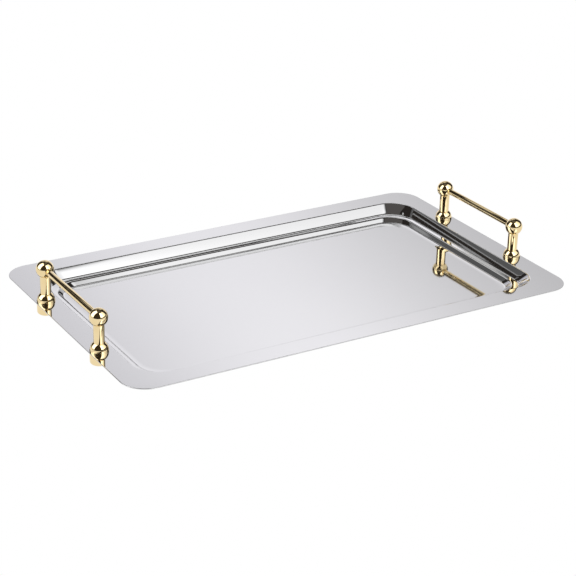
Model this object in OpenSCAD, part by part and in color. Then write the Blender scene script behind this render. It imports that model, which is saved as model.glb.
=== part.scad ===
// Serving tray, full gastronorm size, with two screwed-on post-and-rod handles.
// Millimetres, +Z up, +X along the long side. The origin is the middle of the base the tray stands on.

/* [Tray] */
// Length over the rim
tray_l = 530; // [500:1:560]
// Width over the rim
tray_w = 325; // [300:1:350]
// Radius of the rim's outer corners
rim_corner_r = 27; // [22:1:34]
// Width of the flat rim at the two ends
rim_end_w = 24.5; // [22:0.5:28]
// Width of the flat rim along the two sides
rim_side_w = 24.5; // [22:0.5:28]
// Thickness of the pressed sheet
sheet_t = 1; // [0.8:0.1:1.5]
// Plan radius of the well's corners at the rim
well_top_r = 30; // [26:1:36]
// Plan radius of the well's corners at its floor
well_floor_r = 27; // [20:1:32]
// Straight segments in each rounded corner
corner_steps = 14; // [6:1:18]

/* [Well wall] */
// Slope of both steep stretches, from the horizontal
wall_angle = 46; // [42:1:52]
// Slope of the shoulder between them
shoulder_angle = 5; // [2:1:12]
// Radius where the rim turns down into the well
rim_bend_r = 2.5; // [1.5:0.25:3]
// Length of the upper steep stretch
upper_wall = 11.4; // [8:0.1:13]
// Radius into the shoulder
shoulder_in_r = 3; // [2:0.25:5]
// Length of the shoulder
shoulder = 5; // [4:0.1:8]
// Radius over the shoulder's edge
shoulder_out_r = 4; // [3:0.25:6]
// Length of the lower steep stretch
lower_wall = 4; // [2:0.1:6]
// Radius into the floor
floor_bend_r = 3; // [2:0.25:5]
// How much less the end walls lean in than the side walls
end_wall_ratio = 0.81; // [0.8:0.01:1]

/* [Handles] */
// Distance from the short edge of the rim to the post axes
post_edge = 11; // [10.5:0.5:12]
// Distance between the two posts of a handle
post_gap = 131.5; // [110:0.5:160]
// Height of the rod's axis above the rim
rod_h = 36.4; // [33:0.1:44]
// Diameter of the rod
rod_d = 7; // [5:0.5:8]
// Diameter of the balls that hold the rod
ball_d = 19; // [18:0.5:20]
// Diameter of the pillars
pillar_d = 11.2; // [10:0.2:12]
// Diameter of the band at the foot of the dome
band_d = 19.4; // [19:0.2:20]
// Height of that band
band_h = 1.5; // [1:0.1:2.5]
// Diameter of the dome above the band
dome_d = 18.8; // [18:0.2:19]
// Diameter of the clamping foot under the rim
foot_d = 19.6; // [19:0.2:20]
// Bottom of the clamping foot, measured down from the top of the rim
foot_drop = 13.7; // [12:0.1:15]
// Radius round the bottom edge of the clamping foot
foot_edge_r = 3; // [1:0.25:4]
// Thread diameter of the studs
stud_d = 5; // [4:0.5:6]

/* [Hidden] */
$fn = 96;

STEEL = "gainsboro";
GOLD = "goldenrod";

thread_slack = 0.05;      // gap on the radius between a stud and the threads that hold it
stud_slack = 0.15;        // gap on the radius where a stud only passes through
socket_slack = 0.05;      // gap on the radius round a pillar end or a rod end
washer_t = 0.5;
washer_d = 17;
socket_depth = 7;         // from a ball's centre down to the pillar's end
pillar_seat = 8.4;        // from the rim up to the pillar's lower end
rod_bore_end = 3;         // the rod's blind bore runs this far past a ball's centre
rod_end_gap = 0.2;
stud_top_gap = 1;         // from the rod down to a stud's tip
stud_floor = 2.5;         // from a foot's bottom up to the stud
thread_runout = 0.5;      // a threaded hole runs this far past the stud's end
chamfer = 0.4;
cut = 1;                  // how far a through hole's cutter stands proud of the piece

// A profile point is [inward distance from the rim's inner edge, depth below the rim, slope].
// An arc turns the slope from a0 to a1; it is convex where the slope grows.
function arc_points(start, r, a0, a1, steps) =
    let (turn = a1 > a0 ? 1 : -1)
    [for (i = [1:steps]) let (a = a0 + (a1 - a0) * i / steps)
        [start.x + turn * r * (sin(a) - sin(a0)), start.y + turn * r * (cos(a0) - cos(a)), a]];
function straight_point(start, length, a) = [start.x + length * cos(a), start.y + length * sin(a), a];
function last(list) = list[len(list) - 1];

rim_bend = arc_points([0, 0], rim_bend_r, 0, wall_angle, 5);
upper_end = straight_point(last(rim_bend), upper_wall, wall_angle);
shoulder_in = arc_points(upper_end, shoulder_in_r, wall_angle, shoulder_angle, 5);
shoulder_end = straight_point(last(shoulder_in), shoulder, shoulder_angle);
shoulder_out = arc_points(shoulder_end, shoulder_out_r, shoulder_angle, wall_angle, 6);
lower_end = straight_point(last(shoulder_out), lower_wall, wall_angle);
floor_bend = arc_points(lower_end, floor_bend_r, wall_angle, 0, 6);
profile = concat([[0, 0, 0]], rim_bend, [upper_end], shoulder_in, [shoulder_end],
    shoulder_out, [lower_end], floor_bend);

well_in = last(profile).x;
well_depth = last(profile).y;
rim_z = well_depth + sheet_t;
post_x = tray_l / 2 - post_edge;
post_y = post_gap / 2;
rod_z = rim_z + rod_h;
foot_top = rim_z - sheet_t - washer_t;
foot_z = rim_z - foot_drop;
stud_z = foot_z + stud_floor;
stud_top = rod_z - rod_d / 2 - stud_top_gap;

// One closed loop of points: a rectangle of half sizes hx and hy with corners of radius r, at height z.
function loop(hx, hy, r, z) =
    [for (q = [0:3], i = [0:corner_steps])
        let (a = 90 * (q + i / corner_steps),
             sx = q == 0 || q == 3 ? 1 : -1,
             sy = q < 2 ? 1 : -1)
        [sx * (hx - r) + r * cos(a), sy * (hy - r) + r * sin(a), z]];

// The loop that profile point p makes round the well, moved through the sheet by t along its normal.
function well_loop(p, t) =
    let (out = t * sin(p[2]),
         r = well_top_r + (well_floor_r - well_top_r) * p.x / well_in + out)
    loop(tray_l / 2 - rim_end_w - p.x * end_wall_ratio + out,
         tray_w / 2 - rim_side_w - p.x + out,
         r, rim_z - p.y - t * cos(p[2]));

// Skins a list of loops that all have the same number of points, and caps the first and the last.
module skin(loops) {
    n = len(loops[0]);
    end = len(loops) - 1;
    sides = [for (k = [0:end - 1], i = [0:n - 1])
        [k * n + i, k * n + (i + 1) % n, (k + 1) * n + (i + 1) % n, (k + 1) * n + i]];
    first_cap = [for (i = [n - 1:-1:0]) i];
    last_cap = [for (i = [0:n - 1]) end * n + i];
    polyhedron(points = [for (l = loops, p = l) p], faces = concat([first_cap], sides, [last_cap]),
        convexity = 8);
}

module tray() {
    top = [for (p = profile) well_loop(p, 0)];
    under = [for (p = profile) well_loop(p, sheet_t)];
    edge_top = loop(tray_l / 2, tray_w / 2, rim_corner_r, rim_z);
    edge_under = loop(tray_l / 2, tray_w / 2, rim_corner_r, rim_z - sheet_t);
    turned_under = [for (k = [len(under) - 1:-1:0]) under[k]];
    rings = concat(turned_under, [edge_under, edge_top], top);
    color(STEEL)
        difference() {
            skin(rings);
            for (x = [-1, 1], y = [-1, 1])
                translate([x * post_x, y * post_y, rim_z - 2 * sheet_t])
                    cylinder(d = stud_d + 2 * stud_slack, h = 3 * sheet_t);
        }
}

// Turned pieces are drawn about the post's axis at the height where they sit; side is -1 left, 1 right,
// and end is -1 front, 1 rear.
module at_post(side, end) {
    translate([side * post_x, end * post_y, 0]) children();
}

// Rod with chamfered ends, held in the two balls.
module rod(side) {
    half = post_y + rod_bore_end - rod_end_gap;
    color(GOLD)
        translate([side * post_x, 0, rod_z])
            rotate([90, 0, 0])
                rotate_extrude()
                    polygon([[0, -half], [rod_d / 2 - chamfer, -half], [rod_d / 2, chamfer - half],
                        [rod_d / 2, half - chamfer], [rod_d / 2 - chamfer, half], [0, half]]);
}

// Ball with a blind bore for the rod, a socket for the pillar and a threaded hole for the stud.
module ball(side, end) {
    color(GOLD)
        at_post(side, end)
            translate([0, 0, rod_z])
                difference() {
                    sphere(d = ball_d);
                    translate([0, end * rod_bore_end, 0])
                        rotate([end * 90, 0, 0])
                            cylinder(d = rod_d + 2 * socket_slack, h = ball_d);
                    translate([0, 0, -ball_d])
                        cylinder(d = pillar_d + 2 * socket_slack, h = ball_d - socket_depth);
                    translate([0, 0, -ball_d])
                        cylinder(d = stud_d + 2 * thread_slack, h = ball_d - rod_d / 2 - thread_runout);
                }
}

module pillar(side, end) {
    color(GOLD)
        at_post(side, end)
            translate([0, 0, rim_z + pillar_seat])
                difference() {
                    cylinder(d = pillar_d, h = rod_h - socket_depth - pillar_seat);
                    translate([0, 0, -cut])
                        cylinder(d = stud_d + 2 * stud_slack, h = rod_h);
                }
}

// Dome that spreads the post's load on the rim: a band, a small step and a hemisphere.
module dome(side, end) {
    color(GOLD)
        at_post(side, end)
            translate([0, 0, rim_z])
                difference() {
                    union() {
                        cylinder(d = band_d, h = band_h);
                        translate([0, 0, band_h])
                            intersection() {
                                sphere(d = dome_d);
                                translate([0, 0, -band_h / 2])
                                    cylinder(d = band_d, h = dome_d);
                            }
                    }
                    translate([0, 0, pillar_seat])
                        cylinder(d = pillar_d + 2 * socket_slack, h = dome_d);
                    translate([0, 0, -cut])
                        cylinder(d = stud_d + 2 * stud_slack, h = dome_d);
                }
}

module washer(side, end) {
    color("white")
        at_post(side, end)
            translate([0, 0, foot_top])
                difference() {
                    cylinder(d = washer_d, h = washer_t);
                    translate([0, 0, -cut])
                        cylinder(d = stud_d + 2 * stud_slack, h = washer_t + 2 * cut);
                }
}

// Clamping foot under the rim: a blind threaded sleeve with a rounded bottom edge.
module foot(side, end) {
    h = foot_top - foot_z;
    color(GOLD)
        at_post(side, end)
            translate([0, 0, foot_z])
                difference() {
                    rotate_extrude()
                        union() {
                            square([foot_d / 2 - foot_edge_r, h]);
                            translate([0, foot_edge_r])
                                square([foot_d / 2, h - foot_edge_r]);
                            translate([foot_d / 2 - foot_edge_r, foot_edge_r])
                                circle(r = foot_edge_r);
                        }
                    translate([0, 0, stud_floor - thread_runout])
                        cylinder(d = stud_d + 2 * thread_slack, h = h);
                }
}

// Threaded stud, drawn at its outside diameter, that pulls the ball, pillar and dome down on the rim.
module stud(side, end) {
    h = stud_top - stud_z;
    color("silver")
        at_post(side, end)
            translate([0, 0, stud_z])
                rotate_extrude()
                    polygon([[0, 0], [stud_d / 2 - chamfer, 0], [stud_d / 2, chamfer],
                        [stud_d / 2, h - chamfer], [stud_d / 2 - chamfer, h], [0, h]]);
}

tray();
rod(-1);  // rod_left
rod(1);  // rod_right
ball(-1, -1);  // ball_left_front
ball(-1, 1);  // ball_left_rear
ball(1, -1);  // ball_right_front
ball(1, 1);  // ball_right_rear
pillar(-1, -1);  // pillar_left_front
pillar(-1, 1);  // pillar_left_rear
pillar(1, -1);  // pillar_right_front
pillar(1, 1);  // pillar_right_rear
dome(-1, -1);  // dome_left_front
dome(-1, 1);  // dome_left_rear
dome(1, -1);  // dome_right_front
dome(1, 1);  // dome_right_rear
washer(-1, -1);  // washer_left_front
washer(-1, 1);  // washer_left_rear
washer(1, -1);  // washer_right_front
washer(1, 1);  // washer_right_rear
foot(-1, -1);  // foot_left_front
foot(-1, 1);  // foot_left_rear
foot(1, -1);  // foot_right_front
foot(1, 1);  // foot_right_rear
stud(-1, -1);  // stud_left_front
stud(-1, 1);  // stud_left_rear
stud(1, -1);  // stud_right_front
stud(1, 1);  // stud_right_rear
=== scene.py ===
"""Mirror-polished steel serving tray with two gold post-and-rod handles, in a white product-shot studio.

Lengths in the tray and handle sections are in millimetres, as on the part's drawing, and MM turns them into
metres. Lengths in the camera and studio sections are in metres, and angles are in degrees.
"""
import math

import bmesh
import bpy
from mathutils import Matrix, Vector


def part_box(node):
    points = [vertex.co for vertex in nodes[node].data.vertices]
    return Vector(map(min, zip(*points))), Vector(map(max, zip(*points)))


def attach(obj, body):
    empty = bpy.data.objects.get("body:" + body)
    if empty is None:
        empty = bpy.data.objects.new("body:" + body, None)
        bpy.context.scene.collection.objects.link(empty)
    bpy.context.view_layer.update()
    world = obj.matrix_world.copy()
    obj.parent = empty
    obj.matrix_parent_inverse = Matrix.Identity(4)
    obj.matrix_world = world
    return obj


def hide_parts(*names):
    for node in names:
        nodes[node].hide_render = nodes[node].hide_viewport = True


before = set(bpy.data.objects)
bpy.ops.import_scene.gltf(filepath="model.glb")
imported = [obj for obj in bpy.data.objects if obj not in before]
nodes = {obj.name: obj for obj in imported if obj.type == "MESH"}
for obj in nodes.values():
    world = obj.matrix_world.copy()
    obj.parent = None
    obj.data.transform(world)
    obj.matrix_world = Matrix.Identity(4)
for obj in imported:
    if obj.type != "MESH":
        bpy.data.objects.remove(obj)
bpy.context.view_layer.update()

MM = 0.001
TRAY_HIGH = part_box("tray")[1]
RIM_Z = TRAY_HIGH.z

# ---------------------------------------------------------------- tray shape, millimetres
RIM_CORNER_R = 27.0
RIM_W = 24.5
SHEET_T = 1.0
WELL_TOP_R = 30.0       # corner radius where the well leaves the rim
WELL_FLOOR_R = 27.0     # corner radius where the wall meets the floor
END_WALL_RATIO = 0.81   # how far the end walls reach inwards, as a share of the side walls' reach
CORNER_STEPS = 40
EDGE_ROUND = 0.22       # radius of the broken edges round the rim
HOLD = 0.35             # support loops this far either side of a bend keep the flats flat
STUD_HOLE_R = 2.65
HOLE_STEPS = 32
DRILL_LENGTH = 6.0
POST_EDGE = 11.0        # from the rim's end edge in to a post's axis
POST_GAP = 131.5        # between the axes of the two posts of a handle
CUT_CREASE = 30         # degrees of turn that count as a sharp edge on a piece that was cut

# ---------------------------------------------------------------- handle shapes, millimetres
BALL_R = 9.5
BAND_R = 9.7
BAND_H = 1.5
DOME_R = 9.4
DOME_START = 0.5        # degrees up the dome of its first loop, just clear of the band's top
PILLAR_R = 5.6
FOOT_R = 9.8
FOOT_EDGE_R = 3.0
FOOT_FLOOR = 2.0        # metal left under a foot's blind hole
ROD_R = 3.5
ROD_CLEARANCE = 0.05
ROD_BORE_END = 3.0      # the rod's blind bore runs this far past a ball's centre
SOCKET_R = 5.65         # where a pillar enters a ball or a dome
SOCKET_END_Z = -7.0     # the flat end of a ball's socket, from the ball's centre
PILLAR_SEAT = 8.4       # from the rim up to a pillar's lower end
BREAK = 0.2             # radius of the broken edges on the turned pieces
BREAK_STEPS = 4
POLE_STOP = 89          # degrees up a ball of its last loop before the pole
TURN_STEPS = 128
BORE_STEPS = 64
TURNED_CREASE = 35      # degrees of turn that count as a sharp edge on a turned piece

# Where the posts stand, either side of the tray's middle, in metres.
POST_X = TRAY_HIGH.x - POST_EDGE * MM
POST_Y = POST_GAP / 2 * MM

# Each stretch of the well's wall, from the rim down: ("arc", radius, from slope, to slope) or
# ("line", length, slope), with slopes in degrees from the horizontal.
WALL = (
    ("arc", 2.5, 0, 43),        # over the rim's inner edge
    ("arc", 109.0, 43, 49),     # upper wall, slightly bulged
    ("arc", 3.0, 49, 6),        # into the shoulder
    ("line", 4.4, 6),           # shoulder
    ("arc", 4.0, 6, 43),        # over the shoulder's edge
    ("line", 4.42, 43),         # lower wall
    ("arc", 2.0, 43, 15),       # the last three ease the wall into the floor
    ("arc", 7.0, 15, 3.2),
    ("arc", 110.0, 3.2, 0),
)
ARC_STEP = 3.0          # degrees of slope between two loops in an arc
ARC_LEAST = 6           # fewest loops in an arc

# ---------------------------------------------------------------- camera, degrees and metres
VIEW_AZIMUTH = -31.26
VIEW_ELEVATION = 24.27
VIEW_ROLL = 1.48
VIEW_DISTANCE = 1.8125
VIEW_AIM = Vector((-0.0124, -0.0221, RIM_Z - 0.0007))
LENS = 105.73           # millimetres, like the sensor's width
SENSOR_W = 36.0
CLIP_NEAR = 0.05
CLIP_FAR = 60.0


def make_camera():
    data = bpy.data.cameras.new("camera")
    data.lens = LENS
    data.sensor_width = SENSOR_W
    data.clip_start = CLIP_NEAR
    data.clip_end = CLIP_FAR
    camera = bpy.data.objects.new("camera", data)
    bpy.context.scene.collection.objects.link(camera)
    azimuth, elevation = math.radians(VIEW_AZIMUTH), math.radians(VIEW_ELEVATION)
    back = Vector((math.sin(azimuth) * math.cos(elevation),
                   -math.cos(azimuth) * math.cos(elevation),
                   math.sin(elevation)))
    turn = (-back).to_track_quat("-Z", "Y").to_matrix().to_4x4()
    roll = Matrix.Rotation(math.radians(VIEW_ROLL), 4, "Z")
    camera.matrix_world = Matrix.Translation(VIEW_AIM + back * VIEW_DISTANCE) @ turn @ roll
    bpy.context.scene.camera = camera


# ---------------------------------------------------------------- mesh helpers
def new_object(name, mesh):
    obj = bpy.data.objects.new(name, mesh)
    bpy.context.scene.collection.objects.link(obj)
    return obj


def mesh_from(name, bm):
    """Writes a bmesh out as a new mesh and frees it."""
    mesh = bpy.data.meshes.new(name)
    bm.to_mesh(mesh)
    bm.free()
    return mesh


def face_outwards(bm):
    """Turns every face outwards and shades it smooth."""
    bmesh.ops.recalc_face_normals(bm, faces=bm.faces)
    for face in bm.faces:
        face.smooth = True


def arc(centre_r, centre_z, radius, first, last, steps=BREAK_STEPS):
    """Points (distance outwards, height) along an arc, with angles in degrees up from the outward side."""
    points = []
    for i in range(steps + 1):
        a = math.radians(first + (last - first) * i / steps)
        points.append((centre_r + radius * math.cos(a), centre_z + radius * math.sin(a)))
    return points


def sharpen(mesh, angle):
    """Keeps smooth shading off every edge that turns by more than the angle, in degrees."""
    bm = bmesh.new()
    bm.from_mesh(mesh)
    for edge in bm.edges:
        if len(edge.link_faces) == 2 and edge.calc_face_angle(0) > math.radians(angle):
            edge.smooth = False
    bm.to_mesh(mesh)
    bm.free()


def subtract(obj, bm):
    """Cuts a bmesh shape out of an object and keeps the result."""
    cutter = new_object("cutter", mesh_from("cutter", bm))
    modifier = obj.modifiers.new("cut", "BOOLEAN")
    modifier.object = cutter
    modifier.solver = "EXACT"
    bpy.context.view_layer.update()
    evaluated = obj.evaluated_get(bpy.context.evaluated_depsgraph_get())
    result = bpy.data.meshes.new_from_object(evaluated)
    obj.modifiers.clear()
    obj.data = result
    bpy.data.objects.remove(cutter)
    sharpen(result, CUT_CREASE)


# ---------------------------------------------------------------- tray
def rounded_loop(half_x, half_y, radius, z):
    """Points round a rectangle with rounded corners, in millimetres, from +X towards +Y."""
    points = []
    for quarter in range(4):
        sx = 1 if quarter in (0, 3) else -1
        sy = 1 if quarter < 2 else -1
        for step in range(CORNER_STEPS + 1):
            a = math.radians(90 * (quarter + step / CORNER_STEPS))
            points.append((sx * (half_x - radius) + radius * math.cos(a),
                           sy * (half_y - radius) + radius * math.sin(a), z))
    return points


def wall_stations():
    """(inward distance, depth, slope in radians) at every loop of the well's wall."""
    x, depth = 0.0, 0.0
    stations = [(-HOLD, 0.0, 0.0), (0.0, 0.0, 0.0)]
    for kind, size, *angles in WALL:
        if kind == "line":
            a = math.radians(angles[0])
            for along in (HOLD, size / 2, size - HOLD, size):
                stations.append((x + along * math.cos(a), depth + along * math.sin(a), a))
        else:
            a0, a1 = (math.radians(v) for v in angles)
            turn = 1 if a1 > a0 else -1
            count = max(ARC_LEAST, round(abs(angles[1] - angles[0]) / ARC_STEP))
            for i in range(1, count + 1):
                a = a0 + (a1 - a0) * i / count
                stations.append((x + turn * size * (math.sin(a) - math.sin(a0)),
                                 depth + turn * size * (math.cos(a0) - math.cos(a)), a))
        x, depth = stations[-1][:2]
    stations.append((x + HOLD, depth, 0.0))
    return stations


def well_loop(station, well_in, through):
    """The loop of one wall station, moved through the sheet along its normal by the given thickness."""
    x, depth, slope = station
    out = through * math.sin(slope)
    share = min(max(x / well_in, 0.0), 1.0)
    radius = WELL_TOP_R + (WELL_FLOOR_R - WELL_TOP_R) * share + out
    if x > well_in:
        radius -= x - well_in
    half_x = TRAY_HIGH.x / MM - RIM_W - x * END_WALL_RATIO + out
    half_y = TRAY_HIGH.y / MM - RIM_W - x + out
    return rounded_loop(half_x, half_y, radius, RIM_Z / MM - depth - through * math.cos(slope))


def edge_loops():
    """Loops over the rim's outer edge, from the underside round to the top, with both edges broken."""
    top = RIM_Z / MM
    lower = arc(-EDGE_ROUND, top - SHEET_T + EDGE_ROUND, EDGE_ROUND, -90, 0)
    upper = arc(-EDGE_ROUND, top - EDGE_ROUND, EDGE_ROUND, 0, 90)
    inner = -EDGE_ROUND - HOLD
    loops = []
    for grow, z in [(inner, top - SHEET_T)] + lower + upper + [(inner, top)]:
        loops.append(rounded_loop(TRAY_HIGH.x / MM + grow, TRAY_HIGH.y / MM + grow, RIM_CORNER_R + grow, z))
    return loops


def make_tray():
    """The pressed sheet as one closed skin: up under the well, over the rim's edge and down the well."""
    stations = wall_stations()
    well_in = stations[-2][0]
    under = [well_loop(s, well_in, SHEET_T) for s in reversed(stations)]
    over = [well_loop(s, well_in, 0.0) for s in stations]
    loops = under + edge_loops() + over
    bm = bmesh.new()
    rows = [[bm.verts.new((x * MM, y * MM, z * MM)) for x, y, z in loop] for loop in loops]
    count = len(rows[0])
    for low, high in zip(rows, rows[1:]):
        for i in range(count):
            j = (i + 1) % count
            bm.faces.new((low[i], low[j], high[j], high[i]))
    bm.faces.new(list(reversed(rows[0])))
    bm.faces.new(rows[-1])
    face_outwards(bm)
    tray = new_object("pressed_tray", mesh_from("pressed_tray", bm))
    drill_holes(tray)
    return tray


def drill_holes(tray):
    """One hole through the rim for each post's stud."""
    bm = bmesh.new()
    for side_x in (-1, 1):
        for end_y in (-1, 1):
            place = Matrix.Translation((side_x * POST_X, end_y * POST_Y, RIM_Z))
            bmesh.ops.create_cone(bm, cap_ends=True, segments=HOLE_STEPS, radius1=STUD_HOLE_R * MM,
                                  radius2=STUD_HOLE_R * MM, depth=DRILL_LENGTH * MM, matrix=place)
    subtract(tray, bm)


# ---------------------------------------------------------------- handles
def turned(name, outline, place, ring=False):
    """A lathe-turned solid: the outline spun about its axis; ring joins the last point to the first."""
    bm = bmesh.new()
    rows = []
    for r, z in outline:
        count = TURN_STEPS if r > 0 else 1
        angles = [2 * math.pi * i / count for i in range(count)]
        rows.append([bm.verts.new((r * MM * math.cos(a), r * MM * math.sin(a), z * MM)) for a in angles])
    pairs = list(zip(rows, rows[1:]))
    if ring:
        pairs.append((rows[-1], rows[0]))
    for low, high in pairs:
        for i in range(TURN_STEPS):
            j = (i + 1) % TURN_STEPS
            corners = [low[i % len(low)], low[j % len(low)], high[j % len(high)], high[i % len(high)]]
            bm.faces.new(list(dict.fromkeys(corners)))
    face_outwards(bm)
    bmesh.ops.transform(bm, matrix=place, verts=bm.verts)
    mesh = mesh_from(name, bm)
    sharpen(mesh, TURNED_CREASE)
    return new_object(name, mesh)


def straight_side(radius, low, high):
    """The side of a cylinder from low to high, with both its edges broken."""
    return (arc(radius - BREAK, low + BREAK, BREAK, -90, 0)
            + arc(radius - BREAK, high - BREAK, BREAK, 0, 90))


def mouth_angle(radius):
    """Degrees from a sphere's equator to the rim of the socket cut into its pole."""
    return math.degrees(math.acos((SOCKET_R + BREAK) / radius))


def ball_outline():
    """A ball with the socket that the pillar's end sits in."""
    mouth = -mouth_angle(BALL_R)
    mouth_z = BALL_R * math.sin(math.radians(mouth))
    socket = [(0, SOCKET_END_Z), (SOCKET_R, SOCKET_END_Z), (SOCKET_R, mouth_z + BREAK)]
    return socket + arc(0, 0, BALL_R, mouth, POLE_STOP, steps=48) + [(0, BALL_R)]


def pillar_outline(height):
    """A plain post with the stud's hole through it."""
    return [(STUD_HOLE_R, 0)] + straight_side(PILLAR_R, 0, height) + [(STUD_HOLE_R, height)]


def dome_outline():
    """Band, small step and hemisphere, bored for the pillar and the stud."""
    mouth = mouth_angle(DOME_R)
    mouth_z = BAND_H + DOME_R * math.sin(math.radians(mouth))
    bores = [(SOCKET_R, mouth_z - BREAK), (SOCKET_R, PILLAR_SEAT), (STUD_HOLE_R, PILLAR_SEAT)]
    return ([(STUD_HOLE_R, 0)] + straight_side(BAND_R, 0, BAND_H)
            + arc(0, BAND_H, DOME_R, DOME_START, mouth, steps=32) + bores)


def foot_outline(height):
    """Clamping foot with a rounded bottom edge and a blind hole for the stud."""
    return ([(0, 0)] + arc(FOOT_R - FOOT_EDGE_R, FOOT_EDGE_R, FOOT_EDGE_R, -90, 0, steps=12)
            + arc(FOOT_R - BREAK, height - BREAK, BREAK, 0, 90)
            + [(STUD_HOLE_R, height), (STUD_HOLE_R, FOOT_FLOOR), (0, FOOT_FLOOR)])


def rod_outline(length):
    """A plain rod about its own middle."""
    half = length / 2
    return [(0, -half)] + straight_side(ROD_R, -half, half) + [(0, half)]


def bore_rod(ball, centre, end_y):
    """The blind bore that holds the rod's end; it opens on the side that faces the other ball."""
    bm = bmesh.new()
    reach = 2 * BALL_R * MM
    radius = (ROD_R + ROD_CLEARANCE) * MM
    middle = centre + Vector((0, end_y * (ROD_BORE_END * MM - reach / 2), 0))
    place = Matrix.Translation(middle) @ Matrix.Rotation(math.radians(90), 4, "X")
    bmesh.ops.create_cone(bm, cap_ends=True, segments=BORE_STEPS, radius1=radius, radius2=radius,
                          depth=reach, matrix=place)
    subtract(ball, bm)


def make_rod(side):
    """The rod of one handle, and the height of its axis."""
    low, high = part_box(f"rod_{side}")
    centre = (low + high) / 2
    turn = Matrix.Rotation(math.radians(-90), 4, "X")
    outline = rod_outline((high.y - low.y) / MM)
    return turned(f"handle_rod_{side}", outline, Matrix.Translation(centre) @ turn), centre.z


def make_post(where, x, y, ball_z):
    """Ball, pillar, dome and foot of one post, by the names of the CAD nodes that they stand for."""
    pieces = {}
    centre = Vector((x, y, ball_z))
    ball = turned(f"handle_ball_{where}", ball_outline(), Matrix.Translation(centre))
    bore_rod(ball, centre, math.copysign(1, y))
    pieces[f"ball_{where}"] = ball
    low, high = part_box(f"pillar_{where}")
    pieces[f"pillar_{where}"] = turned(f"handle_pillar_{where}", pillar_outline((high.z - low.z) / MM),
                                       Matrix.Translation((x, y, low.z)), ring=True)
    pieces[f"dome_{where}"] = turned(f"handle_dome_{where}", dome_outline(),
                                     Matrix.Translation((x, y, RIM_Z)), ring=True)
    low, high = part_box(f"foot_{where}")
    pieces[f"foot_{where}"] = turned(f"handle_foot_{where}", foot_outline((high.z - low.z) / MM),
                                     Matrix.Translation((x, y, low.z)))
    return pieces


def make_handles():
    """Visible pieces of both handles, by the names of the CAD nodes that they stand for."""
    pieces = {}
    for side, side_x in (("left", -1), ("right", 1)):
        pieces[f"rod_{side}"], rod_z = make_rod(side)
        for end, end_y in (("front", -1), ("rear", 1)):
            pieces.update(make_post(f"{side}_{end}", side_x * POST_X, end_y * POST_Y, rod_z))
    return pieces


# ---------------------------------------------------------------- materials
NOISE_LOW, NOISE_HIGH = 0.3, 0.7    # nearly all of a noise lies between these


class Nodes:
    """A material's node tree with short calls for adding and linking nodes."""

    def __init__(self, name):
        self.material = bpy.data.materials.new(name)
        self.material.use_nodes = True
        self.tree = self.material.node_tree
        self.tree.nodes.clear()

    def add(self, kind, **settings):
        node = self.tree.nodes.new(kind)
        for key, setting in settings.items():
            setattr(node, key, setting)
        return node

    def link(self, source, target):
        self.tree.links.new(source, target)


def surface(name, color, roughness, metallic):
    """A Principled material with plain values that detail is linked over.

    Gives its nodes, its shader and the object coordinates that the detail is laid out in.
    """
    n = Nodes(name)
    out = n.add("ShaderNodeOutputMaterial")
    shader = n.add("ShaderNodeBsdfPrincipled")
    shader.inputs["Base Color"].default_value = (*color, 1)
    shader.inputs["Metallic"].default_value = metallic
    shader.inputs["Roughness"].default_value = roughness
    n.link(shader.outputs[0], out.inputs["Surface"])
    coords = n.add("ShaderNodeTexCoord").outputs["Object"]
    return n, shader, coords


def grain(n, coords, scale, stretch=(1, 1, 1), detail=3.0):
    """Noise over stretched object coordinates, from 0 to 1."""
    mapping = n.add("ShaderNodeMapping")
    mapping.inputs["Scale"].default_value = stretch
    n.link(coords, mapping.inputs["Vector"])
    noise = n.add("ShaderNodeTexNoise")
    noise.inputs["Scale"].default_value = scale
    noise.inputs["Detail"].default_value = detail
    n.link(mapping.outputs[0], noise.inputs["Vector"])
    return noise.outputs[0]


def value(n, operation, a, b=None, c=None):
    """A math node fed by sockets or plain numbers; gives its output socket."""
    node = n.add("ShaderNodeMath", operation=operation)
    for slot, item in enumerate((a, b, c)):
        if isinstance(item, (int, float)):
            node.inputs[slot].default_value = item
        elif item is not None:
            n.link(item, node.inputs[slot])
    return node.outputs[0]


def spread(n, source, low, high):
    """Maps the middle of a 0 to 1 noise on low to high."""
    node = n.add("ShaderNodeMapRange")
    n.link(source, node.inputs["Value"])
    ends = {"From Min": NOISE_LOW, "From Max": NOISE_HIGH, "To Min": low, "To Max": high}
    for socket, number in ends.items():
        node.inputs[socket].default_value = number
    return node.outputs["Result"]


def tinted(n, source, dark, light):
    """A colour that runs from dark to light with a 0 to 1 noise."""
    node = n.add("ShaderNodeMix", data_type="RGBA")
    n.link(spread(n, source, 0.0, 1.0), node.inputs["Factor"])
    node.inputs[6].default_value = (*dark, 1)
    node.inputs[7].default_value = (*light, 1)
    return node.outputs[2]


def relief(n, shader, height, depth):
    """Bump of the given depth in metres from a 0 to 1 height."""
    bump = n.add("ShaderNodeBump")
    bump.inputs["Strength"].default_value = 1.0
    bump.inputs["Distance"].default_value = depth
    n.link(height, bump.inputs["Height"])
    n.link(bump.outputs[0], shader.inputs["Normal"])


def polished_steel():
    """Mirror-buffed stainless sheet: long faint buffing lines, a little haze, hardly any waviness."""
    n, shader, coords = surface("polished_steel", (0.62, 0.62, 0.625), 0.035, 1.0)
    buffing = grain(n, coords, 90, stretch=(1, 14, 14), detail=4)
    haze = grain(n, coords, 9)
    mixed = value(n, "MULTIPLY_ADD", buffing, 0.6, value(n, "MULTIPLY", haze, 0.4))
    n.link(spread(n, mixed, 0.02, 0.06), shader.inputs["Roughness"])
    tint = tinted(n, mixed, (0.612, 0.612, 0.618), (0.628, 0.628, 0.632))
    n.link(tint, shader.inputs["Base Color"])
    relief(n, shader, buffing, depth=1.2e-6)
    return n.material


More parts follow.
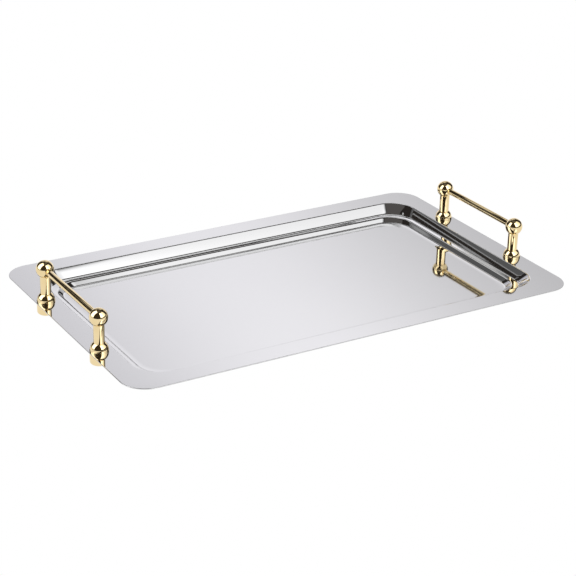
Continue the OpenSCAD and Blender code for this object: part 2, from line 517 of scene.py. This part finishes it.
def polished_gold(name, stretch):
    """Gold-plated brass: faint tool lines, long where stretch is small, and warmer and paler patches."""
    n, shader, coords = surface(name, (0.83, 0.66, 0.37), 0.04, 1.0)
    tool_lines = grain(n, coords, 500, stretch, detail=2)
    patches = grain(n, coords, 70)
    n.link(spread(n, patches, 0.03, 0.07), shader.inputs["Roughness"])
    n.link(tinted(n, patches, (0.81, 0.64, 0.35), (0.85, 0.69, 0.41)), shader.inputs["Base Color"])
    relief(n, shader, tool_lines, depth=1.5e-6)
    return n.material


def zinc_steel():
    """Bright zinc on a screw: crystalline patches and fine drawn lines along the stud."""
    n, shader, coords = surface("zinc_steel", (0.6, 0.6, 0.62), 0.3, 1.0)
    cells = n.add("ShaderNodeTexVoronoi")
    cells.inputs["Scale"].default_value = 900
    n.link(coords, cells.inputs["Vector"])
    patches = tinted(n, cells.outputs["Distance"], (0.5, 0.51, 0.54), (0.68, 0.68, 0.7))
    n.link(patches, shader.inputs["Base Color"])
    lines = grain(n, coords, 900, stretch=(1, 1, 0.1))
    n.link(spread(n, lines, 0.22, 0.4), shader.inputs["Roughness"])
    relief(n, shader, lines, depth=8e-6)
    return n.material


def washer_nylon():
    """Moulded off-white nylon: soft mottling and a fine matt texture."""
    n, shader, coords = surface("washer_nylon", (0.8, 0.8, 0.78), 0.5, 0.0)
    mottle = grain(n, coords, 260)
    n.link(tinted(n, mottle, (0.74, 0.74, 0.71), (0.84, 0.84, 0.82)), shader.inputs["Base Color"])
    n.link(spread(n, mottle, 0.42, 0.58), shader.inputs["Roughness"])
    relief(n, shader, grain(n, coords, 2500), depth=1e-5)
    return n.material


# ---------------------------------------------------------------- studio, degrees and metres
WHITE = (1.0, 1.0, 1.0)
LAVENDER = (0.955, 0.945, 1.0)
NEUTRAL = (0.99, 0.98, 0.985)
WARM = (1.0, 0.93, 0.88)
AMBER = (0.9, 0.7, 0.5)
DARK_ROOM = (0.032, 0.027, 0.024)
TABLE_HALF = 9.0
CEILING_HALF = 1.0
CEILING_Z = 2.8
ROOM_R = 14.0
STRIP_ENDS_X = (0.4, 1.3)
STRIP_EDGES_YZ = ((1.151, 1.453), (0.981, 1.559))   # lower edge, upper edge
NO_STRIPE = (0.5, 0.5, 0.0)
UPRIGHT = (0.0, 0.5)


def emission(name, color, strength):
    """An even glow of one colour."""
    n = Nodes(name)
    out = n.add("ShaderNodeOutputMaterial")
    emit = n.add("ShaderNodeEmission")
    emit.inputs["Color"].default_value = (*color, 1)
    emit.inputs["Strength"].default_value = strength
    n.link(emit.outputs[0], out.inputs["Surface"])
    return n.material


def soft_step(n, source, low, high):
    """Rises smoothly from 0 where the source is low to 1 where it is high."""
    node = n.add("ShaderNodeMapRange", interpolation_type="SMOOTHSTEP")
    n.link(source, node.inputs["Value"])
    node.inputs["From Min"].default_value = low
    node.inputs["From Max"].default_value = high
    return node.outputs["Result"]


def glow(name, colors, low, high, edges, stripe, lean):
    """Emission over a panel's UV square: low to high from bottom to top, fading within the edge widths.

    colors = left and right tint; edges = (left, right, bottom, top) fade widths; stripe = (u, width, share
    of the light) of a soft stripe; lean = (change in the stripe's u for each unit of v, v where that is 0).
    """
    n = Nodes(name)
    out = n.add("ShaderNodeOutputMaterial")
    emit = n.add("ShaderNodeEmission")
    coords = n.add("ShaderNodeTexCoord")
    split = n.add("ShaderNodeSeparateXYZ")
    n.link(coords.outputs["UV"], split.inputs[0])
    u, v = split.outputs[0], split.outputs[1]
    level = value(n, "MULTIPLY_ADD", v, high - low, low)
    left, right, bottom, top = edges
    fades = ((u, 0.0, left), (u, 1.0, 1.0 - right), (v, 0.0, bottom), (v, 1.0, 1.0 - top))
    for source, edge, inner in fades:
        if inner != edge:
            level = value(n, "MULTIPLY", level, soft_step(n, source, edge, inner))
    centre, width, share = stripe
    slope, level_v = lean
    shift = value(n, "MULTIPLY_ADD", v, slope, -centre - slope * level_v)
    offset = value(n, "DIVIDE", value(n, "ADD", u, shift), width)
    bump = value(n, "EXPONENT", value(n, "MULTIPLY", value(n, "POWER", offset, 2.0), -1.0))
    level = value(n, "MULTIPLY", level, value(n, "MULTIPLY_ADD", bump, share, 1.0 - share))
    n.link(level, emit.inputs["Strength"])
    tint = n.add("ShaderNodeMix", data_type="RGBA")
    n.link(u, tint.inputs["Factor"])
    for socket, color in zip((tint.inputs[6], tint.inputs[7]), colors):
        socket.default_value = (*color, 1)
    n.link(tint.outputs[2], emit.inputs["Color"])
    n.link(emit.outputs[0], out.inputs["Surface"])
    return n.material


def stage_mesh(name, vertices, faces, material, camera=False):
    """A studio surface that lights and is mirrored, casts no shadow and is seen directly only if asked."""
    mesh = bpy.data.meshes.new(name)
    mesh.from_pydata(vertices, [], faces)
    obj = new_object(name, mesh)
    obj.data.materials.append(material)
    obj.visible_camera = camera
    obj.visible_shadow = False
    return obj


def square(half, z):
    return [(-half, -half, z), (half, -half, z), (half, half, z), (-half, half, z)]


def polar(azimuth, distance, z):
    """A point seen from the tray's middle: azimuth 0 is towards the camera, and grows to its right."""
    a = math.radians(VIEW_AZIMUTH + azimuth)
    return (math.sin(a) * distance, -math.cos(a) * distance, z)


def arc_panel(name, bottom, top, material, segments=32):
    """A light sheet bent round the tray; bottom and top are (first azimuth, last azimuth, distance, z)."""
    vertices, faces, uvs = [], [], []
    for i in range(segments + 1):
        share = i / segments
        for first, last, distance, z in (bottom, top):
            vertices.append(polar(first + (last - first) * share, distance, z))
        uvs += [(share, 0), (share, 1)]
    for i in range(segments):
        faces.append((2 * i, 2 * i + 2, 2 * i + 3, 2 * i + 1))
    obj = stage_mesh(name, vertices, faces, material)
    layer = obj.data.uv_layers.new(name="panel")
    for loop in obj.data.loops:
        layer.data[loop.index].uv = uvs[loop.vertex_index]


def soft_panel(name, bottom, top, low, high, edges, colors=(WHITE, WHITE), stripe=NO_STRIPE, lean=UPRIGHT):
    """A bent light sheet whose glow is shaped by glow()."""
    arc_panel(name, bottom, top, glow(name, colors, low, high, edges, stripe, lean))


def lay_table():
    """The white table that the tray stands on, bright enough to hide where it ends."""
    white = emission("floor_white", WHITE, 1.0)
    stage_mesh("floor", square(TABLE_HALF, 0), [(0, 1, 2, 3)], white, camera=True)


def hang_softboxes():
    """A small softbox on the left and a wide one on the right, each leaning over the tray."""
    soft_panel("softbox_left", (-56, -98, 1.6, 0.12), (-40, -106, 0.45, 1.1), 2.4, 3.4,
               edges=(0.05, 0.08, 0.1, 0.08), stripe=(0.45, 0.5, 0.15))
    soft_panel("softbox_right", (26, 110, 2.2, 0.42), (3, 110, 0.85, 2.2), 3.3, 3.5,
               edges=(0.05, 0.08, 0.1, 0.15), stripe=(0.1, 0.37, 0.62))


def hang_strip():
    """A narrow strip along X, which lights the mirror image of the far wall in the tray's floor."""
    first, last = STRIP_ENDS_X
    lower, upper = STRIP_EDGES_YZ
    corners = [(first, *lower), (last, *lower), (last, *upper), (first, *upper)]
    stage_mesh("strip_far", corners, [(0, 1, 2, 3)], emission("strip_far", WHITE, 1.5))


def hang_backdrop():
    """The white wall behind the tray, its brighter foot, a patch over it and a canopy nearer in."""
    tints = (LAVENDER, NEUTRAL)
    soft_panel("backdrop", (-142, -218, 3.0, 0.0), (-142, -218, 3.0, 1.79), 0.92, 1.37,
               edges=(0.1, 0.1, 0.0, 0.035), colors=tints,
               stripe=(0.518, 0.185, 0.42), lean=(-0.426, 0.871))
    soft_panel("backdrop_low", (-142, -218, 2.95, 0.0), (-142, -218, 2.95, 0.85), 1.25, 1.25,
               edges=(0.1, 0.1, 0.0, 0.25), colors=tints)
    soft_panel("patch_right", (173, 179, 2.9, 1.68), (173, 179, 2.9, 1.98), 0.75, 0.65,
               edges=(0.25, 0.3, 0.0, 0.3))
    soft_panel("canopy", (-130, -190, 1.6, 1.25), (-130, -190, 1.5, 1.75), 0.78, 0.78,
               edges=(0.25, 0.1, 0.2, 0.2))


def hang_details():
    """Dim seams and a shade past the left softbox, the unlit room in front of the tray and a dim ceiling."""
    for name, low, high, strength in (("seam_low", 0.865, 0.895, 0.4), ("seam_high", 0.985, 1.015, 0.4),
                                      ("shade", 1.015, 1.3, 0.13)):
        arc_panel(name, (-110, -131, 1.7, low), (-110, -131, 1.7, high), emission(name, WHITE, strength))
    arc_panel("gap", (-54, 25, 2.4, 0.6), (-54, 25, 0.6, 2.4), emission("gap", AMBER, 0.05))
    stage_mesh("ceiling", square(CEILING_HALF, CEILING_Z), [(0, 1, 2, 3)], emission("ceiling", WARM, 0.12))


def close_room():
    """A dark world for the mirrors, inside a white shell that only the camera sees."""
    world = bpy.data.worlds.new("room")
    bpy.context.scene.world = world
    world.use_nodes = True
    world.node_tree.nodes["Background"].inputs["Color"].default_value = (*DARK_ROOM, 1)
    bm = bmesh.new()
    bmesh.ops.create_icosphere(bm, subdivisions=3, radius=ROOM_R)
    room = new_object("white_room", mesh_from("white_room", bm))
    room.data.materials.append(emission("room_white", WHITE, 1.0))
    room.visible_glossy = False
    room.visible_diffuse = False
    room.visible_shadow = False
    room.visible_transmission = False


def make_studio():
    lay_table()
    hang_softboxes()
    hang_strip()
    hang_backdrop()
    hang_details()
    close_room()


# ---------------------------------------------------------------- build
make_camera()
make_studio()
bpy.context.scene.view_settings.view_transform = "Standard"

pressed_tray = make_tray()
pressed_tray.data.materials.clear()
pressed_tray.data.materials.append(polished_steel())
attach(pressed_tray, "root")
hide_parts("tray")

post_gold = polished_gold("gold_turned", stretch=(0.15, 0.15, 3))
rod_gold = polished_gold("gold_drawn", stretch=(3, 0.05, 3))
for node_name, piece in make_handles().items():
    piece.data.materials.clear()
    piece.data.materials.append(rod_gold if node_name.startswith("rod") else post_gold)
    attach(piece, "root")
    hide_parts(node_name)

hidden_look = {"stud": zinc_steel(), "washer": washer_nylon()}
for node_name, obj in nodes.items():
    kind = node_name.split("_")[0]
    if kind in hidden_look:
        obj.data.materials.clear()
        obj.data.materials.append(hidden_look[kind])
